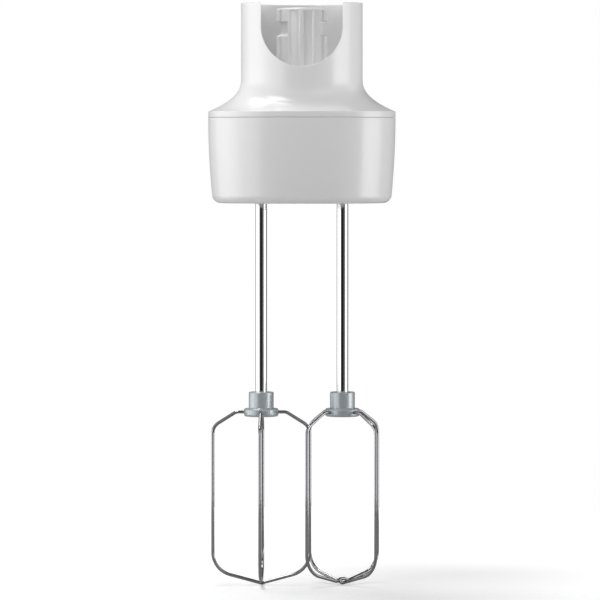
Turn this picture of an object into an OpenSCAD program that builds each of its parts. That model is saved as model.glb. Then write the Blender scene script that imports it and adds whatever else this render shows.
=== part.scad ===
// Twin-beater attachment with its own reduction gearbox, for a stick-type motor unit.
// Row frame: +Z up along the drive axis, origin where the drive axis meets the floor of the motor socket.
// The beaters hang below, one on each side along X, and the notched side of the collar faces -Y.

/* [Socket] */
// Outer diameter of the collar
collar_od = 58.2; // [48:0.2:70]
// Wall of the collar
collar_wall = 2.5; // [1.5:0.1:3]
// Height of the rim above the socket floor
collar_h = 38; // [31:0.5:46]
// Width of the U notch in the front of the collar
notch_w = 38.8; // [31:0.2:44]
// Height of the notch bottom above the socket floor
notch_floor = 7.4; // [6.4:0.1:10]
// Thickness of the socket floor
socket_floor_t = 2.4; // [2:0.1:3]

/* [Housing] */
// Wall of both housing shells
wall = 2.2; // [1.6:0.1:2.8]
// Room between the gear tips and the inside wall, along X
gear_room = 2.8; // [2.3:0.1:4]
// Room between the idler wheel and the inside wall, along Y
wheel_room = 4.4; // [3.6:0.1:6]
// Height of the shoulder between the crease and the collar
shoulder_h = 15.5; // [12.9:0.1:18.6]
// Height of the collar above the socket floor where the shoulder starts to spread
shoulder_top = 2; // [1:0.1:3]
// Height of the upright lip under the crease
lip_h = 3.2; // [2.6:0.1:4]
// Height of the lower housing
lower_h = 40.8; // [40:0.1:49]
// How much narrower the lower housing is at its bottom, each side
draft = 2.2; // [1:0.1:2.7]
// Rounding of the bottom edge
bottom_round = 3.6; // [2:0.1:4.4]
// Open joint line between the two shells
seam_gap = 0.35; // [0.2:0.05:0.5]

/* [Coupling tower] */
// Diameter over the tower's ribs
tower_od = 24.4; // [22:0.1:27]
// Depth of the flutes between the ribs
rib_depth = 2.1; // [1.2:0.1:2.3]
// Height of the tower above the socket floor
tower_h = 35.6; // [30:0.1:37]
// Height of the latch groove
latch_groove_h = 5.6; // [4.5:0.1:6.7]
// Distance from the tower's top to the latch groove
latch_head_h = 6.7; // [5.5:0.1:8]
// Diameter of the plain spigot at the tower's foot
spigot_d = 26; // [25:0.1:30]
// Height of the plain spigot above the socket floor
spigot_h = 6; // [5:0.1:6.3]

/* [Drive] */
// Outer diameter of the drive coupler
coupler_d = 17; // [14.2:0.1:17.4]
// Width across the flats of the coupler's hexagon socket
hex_af = 7; // [5.8:0.1:8.4]
// Diameter of the round lead-in above the hexagon
lead_in_d = 9; // [8.2:0.1:10.8]
// Depth of the round lead-in
lead_in_h = 5; // [4:0.1:6]
// Diameter of the input shaft
input_d = 5; // [4.2:0.1:6]
// Running clearance of every shaft in its bush, on the radius
run = 0.05; // [0.02:0.01:0.08]

/* [Gears] */
// Distance between the two beater axes
beater_spacing = 39; // [32.5:0.5:46.8]
// Teeth of each beater gear
beater_teeth = 39; // [39:2:41]
// Teeth of the idler's small pinion
idler_pinion_teeth = 11; // [10:1:11]
// Teeth of the idler's large wheel
idler_wheel_teeth = 34; // [33:1:35]
// Teeth of the input pinion
input_teeth = 10; // [10:1:11]
// Face width of the beater gears
beater_gear_t = 8; // [6.7:0.1:8.4]
// Face width of the idler's large wheel
wheel_t = 5; // [4.2:0.1:6]
// Thickness of the thrust washers
washer_t = 1; // [0.8:0.1:1.2]

/* [Beaters] */
// Diameter of the beater shafts
shaft_d = 5.6; // [4.7:0.1:6.7]
// Wall of the spindle sleeves that hold the beater shafts
sleeve_wall = 2.5; // [2.4:0.1:3]
// Length of beater shaft from the housing's bottom to the hub
shaft_free = 90.7; // [75:0.1:109]
// Length of beater shaft held inside its spindle
shaft_held = 24.5; // [22:0.1:27]
// Diameter of the beater wire
wire_d = 1.6; // [1.4:0.1:1.9]
// Gap between the axes of two wires as they pass each other
wire_pass = 4; // [3.4:0.1:4.8]
// Diameter of the hub
hub_d = 12; // [10:0.1:14.4]
// Height of the hub above its flange
hub_h = 7.9; // [6.6:0.1:9.5]
// Diameter of the hub's flange
flange_d = 16.6; // [15:0.1:19.9]
// Thickness of the hub's flange
flange_t = 3.9; // [3.3:0.1:4.7]
// Height of the cage, from the wires in the hub to the lowest wire
cage_h = 82.5; // [69:0.5:99]
// How far the left beater is turned at rest, in degrees
left_turn = -1.1; // [-3:0.1:3]
// How far the right beater is turned at rest, in degrees
right_turn = -47.4; // [-49:0.1:-41]

/* [Hidden] */

$fn = 48;
eps = 0.01;
plan_sides = 56;        // corners of the lofted plan outlines
plan_power = 2.4;       // squareness of the housing's plan, where 2 is an ellipse

// gear train: the first stage has finer teeth than the second
gear_module = beater_spacing / beater_teeth;
input_module = 0.8 * gear_module;
addendum = 0.85;
dedendum = 1.15;
backlash = 0.16;        // taken off each tooth's thickness at the pitch circle
left_x = -beater_spacing / 2;
right_x = beater_spacing / 2;
tip_r = beater_spacing / 2 + addendum * gear_module;
idler_to_input = (input_teeth + idler_wheel_teeth) / 2 * input_module;
idler_to_left = (beater_teeth + idler_pinion_teeth) / 2 * gear_module;
idler_x = (pow(idler_to_left, 2) - pow(idler_to_input, 2) - pow(left_x, 2)) / beater_spacing;
idler_y = sqrt(pow(idler_to_input, 2) - pow(idler_x, 2));
wheel_tip_r = (idler_wheel_teeth / 2 + addendum) * input_module;

// housing plan, worked out from what it has to clear
half_w = right_x + tip_r + gear_room + wall;
half_d = idler_y + wheel_tip_r + wheel_room + wall;
collar_r = collar_od / 2;
bore_r = collar_r - collar_wall;
neck_r = collar_r - 0.1;  // the shoulder ends just inside the collar
crease_inset = 0.7;     // the rounded edge where the shoulder meets the lip

// levels, from the rim down
shoulder_low = shoulder_top - shoulder_h;
seam_z = shoulder_low - lip_h;
crease_t = 1.5;         // solid left at the crease, above the tongue of the lower housing
bottom_z = seam_z - lower_h;
floor_in_z = bottom_z + wall;
base_z = floor_in_z + 4.3;
base_t = 3;
gear_z = base_z + base_t + washer_t;
idler_wheel_z = gear_z + beater_gear_t + 2.5;
top_plate_z = idler_wheel_z + wheel_t + 3.5;
top_plate_t = 4;
top_plate_top = top_plate_z + top_plate_t;

// spindles and beaters
bore_clear = 0.1;       // sliding clearance of a beater shaft in its spindle, on the radius
shaft_r = shaft_d / 2;
spindle_bore_r = shaft_r + bore_clear;
spindle_r = spindle_bore_r + sleeve_wall;
spindle_low = bottom_z + 0.3;
spindle_top = top_plate_top - 0.4;
shaft_top = spindle_low + shaft_held;
bush_wall = 2;
bush_r = spindle_r + run + bush_wall;
detent_z = gear_z + 2;
detent_wire = 0.8;
fin_z = spindle_low + 3;
fin_h = 6;
fin_t = 1;
fin_reach = shaft_r + 1.3;
fin_room = 0.12;
hub_top = bottom_z - shaft_free;
flange_top = hub_top - hub_h;
wire_z = flange_top - flange_t * 0.45;
hub_low = flange_top - flange_t;
loop_r = (beater_spacing + wire_pass) / (2 * cos(22.5));
tip_z = wire_z - cage_h;

// loop shape: fall of the top and bottom arms, and the bends of the wire
top_fall = 32;
low_fall = 15;
top_out = 12 / 23.27 * loop_r;
wire_root = 4.2;
knee_bend = 4;
top_bend = 6;
low_bend = 11;
tip_bend = 2.4;
arch_half = 1.9;

// fastenings
screw_d = 3;
screw_head_d = 5.4;
screw_head_h = 2;
screw_bite = 9;         // length of screw held in the upper housing
pillar_r = beater_spacing / 13;
pillar_turn = 63;       // direction of the pillars seen from the beater axes
pillar_reach = tip_r + pillar_r + 0.7;
pillar_at = [right_x + pillar_reach * cos(pillar_turn), pillar_reach * sin(pillar_turn)];
pillar_points = [for (sx = [-1, 1], sy = [-1, 1]) [sx * pillar_at.x, sy * pillar_at.y]];
tower_flange_r = 15.5;
tower_flange_t = 3;
tower_tube_r = spigot_d / 2 - 2.6;
spigot_gap = 1;         // clearance round the spigot where it passes the socket floor
tower_screw_r = 13.4;
tower_screw_turns = [50, 130, 270];
tower_screw_d = 2.2;
tower_bore_r = coupler_d / 2 + 0.5;
coupler_z = tower_h - 22;
coupler_h = 19.5;
upper_bush_z = -4;
upper_bush_h = 5;
idler_pin_r = 2;

// ---------------------------------------------------------------- plan outlines and lofts

// One corner of the squared oval, at angle t
function oval(a, b, t) =
  [a * sign(cos(t)) * pow(abs(cos(t)), 2 / plan_power), b * sign(sin(t)) * pow(abs(sin(t)), 2 / plan_power)];

function oval_outline(a, b) = [for (i = [0:plan_sides - 1]) oval(a, b, i * 360 / plan_sides)];

// Outline of the upper housing at level z, drawn in by inset
function upper_ring(z, inset) =
  let (u = min(1, max(0, (shoulder_top - z) / shoulder_h)), lip = z < shoulder_low + eps ? 0 : 1)
  [for (i = [0:plan_sides - 1])
    let (
      t = i * 360 / plan_sides,
      inner = [neck_r * cos(t), neck_r * sin(t)],
      edge = oval(half_w - lip * crease_inset, half_d - lip * crease_inset, t),
      spread = max(1, norm(edge) - norm(inner)),
      power = max(1.2, 2.35 * shoulder_h / spread),
      p = inner + (edge - inner) * pow(u, power)
    ) [p.x * (1 - inset / norm(p)), p.y * (1 - inset / norm(p)), z]];

// Half-size of the lower housing at level z
function lower_in(z) = draft * pow(max(0, (seam_z - z) / lower_h), 2);
function round_in(z) =
  let (d = z - bottom_z) d < bottom_round ? bottom_round - sqrt(pow(bottom_round, 2) - pow(bottom_round - d, 2)) : 0;
function lower_ring(z, inset) =
  let (s = lower_in(z) + inset) [for (p = oval_outline(half_w - s, half_d - s)) [p.x, p.y, z]];

// A closed solid through a stack of rings with the same number of corners
module loft(rings) {
  n = len(rings[0]);
  last = len(rings) - 1;
  points = [for (ring = rings) each ring];
  sides = [for (k = [0:last - 1], i = [0:n - 1])
    let (a = k * n + i, b = k * n + (i + 1) % n)
    each [[a, a + n, b + n], [a, b + n, b]]];
  polyhedron(points, concat(sides, [[for (i = [0:n - 1]) i]], [[for (i = [n - 1:-1:0]) last * n + i]]));
}

// ---------------------------------------------------------------- gears

// Half-angle of a tooth at radius r
function roll(a) = tan(a) * 180 / PI - a;
function half_tooth(m, z, r) =
  let (rp = m * z / 2, rb = rp * cos(20))
  90 / z - backlash / 2 / rp * 180 / PI + roll(20) - (r > rb ? roll(acos(rb / r)) : 0);
function polar(r, a) = [r * cos(a), r * sin(a)];

// Outline of a spur gear with module m and z teeth, with one tooth along +X
function gear_outline(m, z) =
  let (
    rp = m * z / 2,
    tip = rp + addendum * m,
    root = rp - dedendum * m,
    base = max(root + 0.05 * m, rp * cos(20)),
    radii = [root, base, (base + rp) / 2, rp, (rp + tip) / 2, tip]
  )
  [for (i = [0:z - 1], side = [-1, 1], k = [0:5])
    let (r = radii[side < 0 ? k : 5 - k]) polar(r, i * 360 / z + side * half_tooth(m, z, r))];

module gear(m, z, t, hole_r, hub_r = 0, hub_h = 0) {
  difference() {
    union() {
      linear_extrude(t) polygon(gear_outline(m, z));
      if (hub_h > 0) translate([0, 0, t / 2]) cylinder(h = t / 2 + hub_h, r = hub_r);
    }
    translate([0, 0, -1]) cylinder(h = t + hub_h + 2, r = hole_r);
  }
}

// Turn that puts a gear of z teeth into mesh with one at angle a (seen from it), whose own turn there is other
function mesh_turn(z, a, other_z, other_turn) =
  let (phase = (a - other_turn) * other_z) 180 + a + 180 / z - phase / z * -1;

// ---------------------------------------------------------------- small repeated shapes

module tube(z, h, outer, inner) {
  translate([0, 0, z]) difference() {
    cylinder(h = h, r = outer);
    translate([0, 0, -eps]) cylinder(h = h + 2 * eps, r = inner);
  }
}

module at_axes() {
  for (x = [left_x, right_x]) translate([x, 0, 0]) children();
}

module at_pillars() {
  for (p = pillar_points) translate([p.x, p.y, 0]) children();
}

module screw(z_head, z_tip, d, head_d, head_h) {
  translate([0, 0, z_head]) difference() {
    cylinder(h = head_h, d = head_d);
    translate([0, 0, -eps]) cylinder(h = head_h * 0.6, d = head_d * 0.55, $fn = 6);
  }
  translate([0, 0, z_head + head_h]) cylinder(h = z_tip - z_head - head_h, d = d);
}

// A wire bent in the XZ plane: straight between corners, with a bend of the given radius at each corner
function unit(v) = v / norm(v);
function turn_angle(a, b) = acos(max(-1, min(1, a * b)));
function bend_points(a, b, corner, r) =
  let (
    sweep = turn_angle(a, b),
    side = unit(b - a * (a * b)),
    start = corner - a * r * tan(sweep / 2),
    centre = start + side * r,
    steps = max(2, ceil(sweep / 9))
  )
  [for (k = [0:steps]) let (t = sweep * k / steps)
    [centre - side * r * cos(t) + a * r * sin(t), a * cos(t) + side * sin(t)]];

module bent_wire(corners, bends, d) {
  n = len(corners);
  sides = 12;
  dirs = [for (i = [0:n - 2]) unit(corners[i + 1] - corners[i])];
  stations = concat([[corners[0], dirs[0]]],
    [for (i = [1:n - 2]) each bend_points(dirs[i - 1], dirs[i], corners[i], bends[i])],
    [[corners[n - 1], dirs[n - 2]]]);
  loft([for (s = stations) [for (k = [sides - 1:-1:0])
    let (c = d / 2 * cos(k * 360 / sides), h = d / 2 * sin(k * 360 / sides))
    [s[0].x - s[1].y * c, h, s[0].y + s[1].x * c]]]);
}

// ---------------------------------------------------------------- housing

upper_levels = concat([seam_z + seam_gap / 2, shoulder_low],
  [for (u = [0.97, 0.93, 0.88, 0.82, 0.75, 0.67, 0.58, 0.48, 0.36, 0.22]) shoulder_top - u * shoulder_h],
  [shoulder_top, shoulder_top + 1]);

module upper_solid() {
  loft([for (z = upper_levels) upper_ring(z, 0)]);
  translate([0, 0, shoulder_top]) cylinder(h = collar_h - shoulder_top, r = collar_r, $fn = 96);
}

module upper_cavity() {
  ceiling = -socket_floor_t;
  levels = concat([seam_z - 1, shoulder_low - crease_t],
    [for (u = [0.89, 0.82, 0.72, 0.6, 0.48]) shoulder_top - wall * 0.75 - u * shoulder_h], [ceiling]);
  loft([for (z = levels)
    [for (p = upper_ring(z < shoulder_low ? z : z + wall * 0.75, wall)) [p.x, p.y, z]]]);
}

module notch() {
  r = notch_w / 2;
  translate([0, -collar_r, notch_floor + r]) rotate([90, 0, 0])
    cylinder(h = collar_r, r = r, center = true, $fn = 96);
  translate([-r, -collar_r * 1.5, notch_floor + r]) cube([notch_w, collar_r, collar_h]);
}

module upper_housing() {
  color("white") difference() {
    union() {
      difference() {
        upper_solid();
        difference() {
          upper_cavity();
          at_pillars() translate([0, 0, seam_z]) cylinder(h = shoulder_h + lip_h, r = pillar_r + 0.3);
        }
      }
      at_pillars() translate([0, 0, top_plate_top]) cylinder(h = seam_z - top_plate_top + 2, r = pillar_r + 0.3);
    }
    cylinder(h = collar_h + 1, r = bore_r, $fn = 96);
    translate([0, 0, -socket_floor_t - 1]) cylinder(h = socket_floor_t + 2, r = spigot_d / 2 + spigot_gap);
    at_pillars() translate([0, 0, top_plate_top - 1]) cylinder(h = screw_bite + 1.6, d = screw_d);
    notch();
  }
}

lower_levels = concat(
  [for (q = [0, 0.06, 0.2, 0.45, 0.75, 1]) bottom_z + bottom_round * q],
  [for (q = [0.3, 0.5, 0.7, 0.85]) bottom_z + lower_h * q], [seam_z - seam_gap / 2]);

module lower_housing() {
  lip_in = wall + 0.15;
  lip_up = lip_h - crease_t - 0.2;
  color("white") difference() {
    union() {
      difference() {
        loft([for (z = lower_levels) lower_ring(z, round_in(z))]);
        loft([for (z = [floor_in_z, bottom_z + lower_h * 0.45, bottom_z + lower_h * 0.7, seam_z + 1])
          lower_ring(z, wall)]);
      }
      difference() {
        loft([for (s = [[seam_z - 3, wall - 0.6], [seam_z - 0.6, wall - 0.6], [seam_z - 0.5, lip_in],
            [seam_z + lip_up, lip_in]]) lower_ring(s[0], s[1])]);
        loft([for (z = [seam_z - 4, seam_z + lip_up + 1]) lower_ring(z, lip_in + 1.3)]);
      }
      at_axes() translate([0, 0, floor_in_z - eps]) cylinder(h = 1.2, r = bush_r + 1.4);
    }
    at_axes() translate([0, 0, bottom_z - 1]) cylinder(h = wall + 4, r = bush_r);
  }
}

module outlet_seals() {
  color("dimgray") at_axes() {
    tube(bottom_z + 0.5, wall + 0.5, bush_r, spindle_r + run);
  }
}

// ---------------------------------------------------------------- coupling tower

module tower_rib(angle, width, z, h) {
  rotate([0, 0, angle]) translate([tower_od / 2 - rib_depth - 1, -width / 2, z]) cube([rib_depth + 2, width, h]);
}

module tower_ribs(z, h) {
  intersection() {
    translate([0, 0, z]) cylinder(h = h, r = tower_od / 2);
    union() {
      for (side = [-90, 90]) tower_rib(side, 2.6, z, h);
      for (a = [-131, -52, 52, 131]) tower_rib(a, 5.2, z, h);
      for (a = [0, 180]) tower_rib(a, 12, z, h);
    }
  }
}

module coupling_tower() {
  core_r = tower_od / 2 - rib_depth;
  groove_z = tower_h - latch_head_h - latch_groove_h;
  top_cap = 0.8;
  color("whitesmoke") difference() {
    union() {
      translate([0, 0, top_plate_top]) cylinder(h = tower_flange_t, r = tower_flange_r);
      translate([0, 0, top_plate_top]) cylinder(h = -top_plate_top, r = tower_tube_r);
      translate([0, 0, -socket_floor_t - 3]) cylinder(h = 3, r = spigot_d / 2 + 2 * spigot_gap);
      translate([0, 0, -socket_floor_t - 1]) cylinder(h = socket_floor_t + 2, r = spigot_d / 2 - spigot_gap);
      cylinder(h = spigot_h, d = spigot_d);
      cylinder(h = tower_h - top_cap, r = core_r);
      difference() {
        tower_ribs(spigot_h - 1, tower_h - spigot_h + 1 - top_cap);
        translate([-tower_od - 7.1, -tower_od, groove_z]) cube([tower_od, 2 * tower_od, latch_groove_h]);
        translate([9, -tower_od, groove_z]) cube([tower_od, 2 * tower_od, latch_groove_h]);
      }
      translate([0, 0, tower_h - top_cap]) cylinder(h = top_cap, r1 = tower_od / 2, r2 = tower_od / 2 - 0.6);
      translate([0, 0, tower_h - top_cap - 1.2]) cylinder(h = 1.2, r = tower_od / 2);
    }
    translate([0, 0, coupler_z - 3]) cylinder(h = tower_h, r = tower_bore_r);
    translate([0, 0, upper_bush_z]) cylinder(h = tower_h, r = input_d / 2 + run + bush_wall + 1.2);
    translate([0, 0, top_plate_top - 1]) cylinder(h = tower_h, r = input_d / 2 + 1.2);
    for (a = tower_screw_turns) rotate([0, 0, a]) translate([tower_screw_r, 0, top_plate_top - 1])
      cylinder(h = tower_flange_t + 2, d = tower_screw_d);
  }
}

module tower_screws() {
  color("silver") for (a = tower_screw_turns) rotate([0, 0, a]) translate([tower_screw_r, 0, 0]) {
    translate([0, 0, top_plate_z + 0.4]) cylinder(h = top_plate_t + tower_flange_t - 0.4, d = tower_screw_d);
    translate([0, 0, top_plate_top + tower_flange_t]) cylinder(h = 1.3, d = tower_screw_d * 1.75);
  }
}

// ---------------------------------------------------------------- gearbox frame

module plate(z, t) {
  inset = wall + lower_in(z) + 0.5;
  translate([0, 0, z]) linear_extrude(t) polygon(oval_outline(half_w - inset, half_d - inset));
}

module gearbox_base() {
  color("lightgray") difference() {
    union() {
      plate(base_z, base_t);
      at_axes() translate([0, 0, base_z - 3]) cylinder(h = 3 + eps, r = bush_r + 1.8);
      translate([idler_x, idler_y, base_z - 2]) cylinder(h = 2 + eps, r = idler_pin_r + 2.5);
      at_pillars() translate([0, 0, base_z]) cylinder(h = top_plate_z - base_z, r = pillar_r);
    }
    at_axes() translate([0, 0, base_z - 4]) cylinder(h = base_t + 5, r = bush_r);
    translate([idler_x, idler_y, base_z - 1]) cylinder(h = base_t + 2, r = idler_pin_r);
    at_pillars() translate([0, 0, base_z - 1]) cylinder(h = top_plate_z - base_z + 2, d = screw_d);
  }
}

module gearbox_top_plate() {
  color("lightgray") difference() {
    plate(top_plate_z, top_plate_t);
    at_axes() translate([0, 0, top_plate_z - 1]) cylinder(h = top_plate_t + 2, r = bush_r);
    translate([idler_x, idler_y, top_plate_z - 1]) cylinder(h = top_plate_t + 2, r = idler_pin_r);
    translate([0, 0, top_plate_z - 1]) cylinder(h = top_plate_t + 2, r = input_d / 2 + run + bush_wall);
    at_pillars() translate([0, 0, top_plate_z - 1]) cylinder(h = top_plate_t + 2, d = screw_d);
    for (a = tower_screw_turns) rotate([0, 0, a]) translate([tower_screw_r, 0, top_plate_z + 0.4])
      cylinder(h = top_plate_t, d = tower_screw_d);
  }
}

module gearbox_screws() {
  color("silver") at_pillars()
    screw(base_z - screw_head_h, top_plate_top + screw_bite, screw_d, screw_head_d, screw_head_h);
}

// ---------------------------------------------------------------- input shaft

module input_bush_upper() {
  color("peru") tube(upper_bush_z, upper_bush_h, input_d / 2 + run + bush_wall + 1.2, input_d / 2 + run);
}

module input_bush_lower() {
  color("peru") tube(top_plate_z, top_plate_t, input_d / 2 + run + bush_wall, input_d / 2 + run);
}

module input_shaft() {
  low = idler_wheel_z - 0.5;
  color("silver") difference() {
    union() {
      translate([0, 0, low]) cylinder(h = coupler_z + 8 - low, d = input_d);
      translate([0, 0, upper_bush_z + upper_bush_h + 0.2]) cylinder(h = 1.2, d = input_d + 3);
    }
    translate([0, 0, coupler_z + 4]) rotate([90, 0, 0]) cylinder(h = input_d + 2, r = 0.9, center = true);
  }
}

module drive_coupler() {
  pin_z = coupler_z + 4;
  color("gainsboro") difference() {
    translate([0, 0, coupler_z]) cylinder(h = coupler_h, d = coupler_d);
    translate([0, 0, coupler_z - 1]) cylinder(h = 9, d = input_d);
    translate([0, 0, coupler_z + 9]) cylinder(h = coupler_h, d = hex_af / cos(30), $fn = 6);
    translate([0, 0, coupler_z + coupler_h - lead_in_h]) cylinder(h = lead_in_h + 1, d = lead_in_d);
    translate([0, 0, pin_z]) rotate([90, 0, 0]) cylinder(h = coupler_d + 2, r = 0.9, center = true);
  }
}

module coupler_pin() {
  color("silver") translate([0, 0, coupler_z + 4]) rotate([90, 0, 0])
    cylinder(h = coupler_d - 1, r = 0.9, center = true);
}

module input_pinion() {
  color("goldenrod") translate([0, 0, idler_wheel_z - 0.5]) rotate([0, 0, input_turn])
    gear(input_module, input_teeth, wheel_t + 1, input_d / 2);
}

module input_circlip() {
  z = top_plate_top + 0.2;
  color("dimgray") translate([0, 0, z]) difference() {
    cylinder(h = 0.6, r = input_d / 2 + 1.1);
    translate([0, 0, -eps]) cylinder(h = 1, r = input_d / 2);
    translate([0, -0.8, -eps]) cube([input_d, 1.6, 1]);
  }
}

// ---------------------------------------------------------------- idler

idler_hub_r = idler_pin_r + 1.6;
idler_dir = atan2(idler_y, idler_x - left_x);
idler_turn = mesh_turn(idler_pinion_teeth, idler_dir, beater_teeth, 0);
input_dir = atan2(-idler_y, -idler_x);
input_turn = mesh_turn(input_teeth, input_dir, idler_wheel_teeth, 0);

module idler_pin() {
  color("silver") translate([idler_x, idler_y, base_z - 1]) cylinder(h = top_plate_top - base_z + 1, r = idler_pin_r);
}

module idler_pinion() {
  color("goldenrod") translate([idler_x, idler_y, gear_z]) rotate([0, 0, idler_turn])
    gear(gear_module, idler_pinion_teeth, idler_wheel_z - gear_z, idler_pin_r + run, idler_hub_r, wheel_t + 1);
}

module idler_wheel() {
  color("ivory") translate([idler_x, idler_y, idler_wheel_z])
    gear(input_module, idler_wheel_teeth, wheel_t, idler_hub_r);
}

module idler_washers() {
  color("silver") translate([idler_x, idler_y, 0]) {
    tube(gear_z - washer_t + 0.05, washer_t - 0.1, idler_hub_r + 1.6, idler_pin_r + run);
    tube(idler_wheel_z + wheel_t + 1.05, washer_t, idler_hub_r + 0.6, idler_pin_r + run);
  }
}

// ---------------------------------------------------------------- spindles

module spindle_bushes_lower() {
  color("peru") at_axes() tube(base_z - 3, base_t + 3, bush_r, spindle_r + run);
}

module spindle_bushes_upper() {
  color("peru") at_axes() tube(top_plate_z, top_plate_t, bush_r, spindle_r + run);
}

// Sleeve that takes a beater shaft, with slots for its fins and a groove for the detent ring
module spindle(x, turn) {
  color("gainsboro") translate([x, 0, 0]) difference() {
    translate([0, 0, spindle_low]) cylinder(h = spindle_top - spindle_low, r = spindle_r);
    translate([0, 0, spindle_low - 1]) cylinder(h = shaft_held + 2, r = spindle_bore_r);
    rotate([0, 0, turn]) for (a = [0, 90]) rotate([0, 0, a])
      translate([-fin_reach - fin_room, -fin_t / 2 - fin_room, spindle_low - 1])
        cube([2 * (fin_reach + fin_room), fin_t + 2 * fin_room, fin_z + fin_h - spindle_low + 1.2]);
    translate([0, 0, detent_z]) cylinder(h = detent_wire + 0.2, r = shaft_r + detent_wire + 0.35);
    translate([spindle_r - 0.6, -1, gear_z + beater_gear_t - 5]) cube([1.2, 2, 5 + eps]);
  }
}

module beater_gear(x) {
  color("ivory") translate([x, 0, gear_z]) difference() {
    linear_extrude(beater_gear_t) polygon(gear_outline(gear_module, beater_teeth));
    translate([0, 0, -eps]) cylinder(h = beater_gear_t + 1, r = spindle_r);
    translate([spindle_r - 1, -1, beater_gear_t - 5]) cube([1.6, 2, 6]);
    for (a = [0:60:300]) rotate([0, 0, a + 30]) translate([beater_spacing * 0.32, 0, -eps])
      cylinder(h = beater_gear_t + 1, r = beater_spacing * 0.062);
  }
}

module gear_key(x) {
  color("silver") translate([x + spindle_r - 0.6, -1, gear_z + beater_gear_t - 5]) cube([1.2, 2, 5]);
}

module detent_ring(x) {
  color("silver") translate([x, 0, detent_z + 0.1 + detent_wire / 2]) rotate([0, 0, 20])
    rotate_extrude(angle = 320, $fn = 64) translate([shaft_r + 0.05 + detent_wire / 2, 0])
      circle(d = detent_wire, $fn = 16);
}

module thrust_washer(x) {
  color("silver") translate([x, 0, 0])
    tube(gear_z - washer_t + 0.05, washer_t - 0.05, spindle_r + 1.9, spindle_r);
}

// ---------------------------------------------------------------- beaters

module beater_shaft(x) {
  color("silver") translate([x, 0, 0]) difference() {
    union() {
      translate([0, 0, wire_z]) cylinder(h = shaft_top - 1 - wire_z, r = shaft_r);
      translate([0, 0, shaft_top - 1]) cylinder(h = 1, r1 = shaft_r, r2 = shaft_r - 0.9);
    }
    translate([0, 0, detent_z - 0.1]) tube(0, detent_wire + 0.4, shaft_r + 1, shaft_r - 0.4);
  }
}

module drive_fins(x, turn) {
  color("silver") translate([x, 0, fin_z]) rotate([0, 0, turn]) difference() {
    union() {
      for (a = [0, 90]) rotate([0, 0, a]) translate([-fin_reach, -fin_t / 2, 0]) cube([2 * fin_reach, fin_t, fin_h]);
    }
    translate([0, 0, -1]) cylinder(h = fin_h + 2, r = shaft_r);
  }
}

module wire_holes(turn) {
  for (a = [0, 90, 180, 270]) rotate([0, 0, a + turn]) translate([wire_root, 0, wire_z]) rotate([0, 90, 0])
    cylinder(h = flange_d, d = wire_d, $fn = 24);
}

module beater_hub(x, turn) {
  edge = 0.7;
  color("lightsteelblue") translate([x, 0, 0]) difference() {
    union() {
      translate([0, 0, flange_top]) cylinder(h = hub_h, d = hub_d);
      translate([0, 0, hub_low + edge]) cylinder(h = flange_t - edge, d = flange_d);
      translate([0, 0, hub_low]) cylinder(h = edge, d1 = flange_d - 2 * edge, d2 = flange_d);
    }
    translate([0, 0, wire_z]) cylinder(h = hub_top - wire_z + 1, r = shaft_r);
    wire_holes(turn);
  }
}

// Half of the loop's corners, from the hub to the knee above the tip
function loop_corners() =
  [[wire_root, wire_z], [top_out, wire_z], [loop_r, wire_z - (loop_r - top_out) * tan(top_fall)],
    [loop_r, tip_z + loop_r * tan(low_fall)]];

function mirrored(points) = [for (i = [len(points) - 1:-1:0]) [-points[i].x, points[i].y]];

module plain_loop(x, turn) {
  half = loop_corners();
  color("silver") translate([x, 0, 0]) rotate([0, 0, turn])
    bent_wire(concat(half, [[0, tip_z]], mirrored(half)),
      [0, knee_bend, top_bend, low_bend, tip_bend, low_bend, top_bend, knee_bend, 0], wire_d);
}

module arched_loop(x, turn) {
  half = loop_corners();
  low = tip_z + 2 * arch_half * tan(low_fall);
  arch = [[2 * arch_half, low], [arch_half * 0.75, tip_z + wire_d + 0.45]];
  small = wire_d * 0.75;
  color("silver") translate([x, 0, 0]) rotate([0, 0, turn + 90])
    bent_wire(concat(half, arch, mirrored(arch), mirrored(half)),
      [0, knee_bend, top_bend, low_bend, small, small, small, small, low_bend, top_bend, knee_bend, 0], wire_d);
}

upper_housing();
lower_housing();
coupling_tower();
tower_screws();
gearbox_base();
gearbox_top_plate();
gearbox_screws();
input_bush_upper();
input_bush_lower();
input_shaft();
drive_coupler();
coupler_pin();
input_pinion();
input_circlip();
idler_pin();
idler_pinion();
idler_wheel();
idler_washers();
spindle_bushes_upper();
spindle_bushes_lower();
outlet_seals();
spindle(left_x, left_turn);  // left_spindle
beater_gear(left_x);  // left_gear
gear_key(left_x);  // left_gear_key
detent_ring(left_x);  // left_detent_ring
thrust_washer(left_x);  // left_thrust_washer
spindle(right_x, right_turn);  // right_spindle
beater_gear(right_x);  // right_gear
gear_key(right_x);  // right_gear_key
detent_ring(right_x);  // right_detent_ring
thrust_washer(right_x);  // right_thrust_washer
beater_shaft(left_x);  // left_beater_shaft
drive_fins(left_x, left_turn);  // left_beater_drive_fins
beater_hub(left_x, left_turn);  // left_beater_hub
plain_loop(left_x, left_turn);  // left_beater_plain_loop
arched_loop(left_x, left_turn);  // left_beater_arched_loop
beater_shaft(right_x);  // right_beater_shaft
drive_fins(right_x, right_turn);  // right_beater_drive_fins
beater_hub(right_x, right_turn);  // right_beater_hub
plain_loop(right_x, right_turn);  // right_beater_plain_loop
arched_loop(right_x, right_turn);  // right_beater_arched_loop
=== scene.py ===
import math

import bmesh
import bpy
from mathutils import Matrix, Vector


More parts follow.
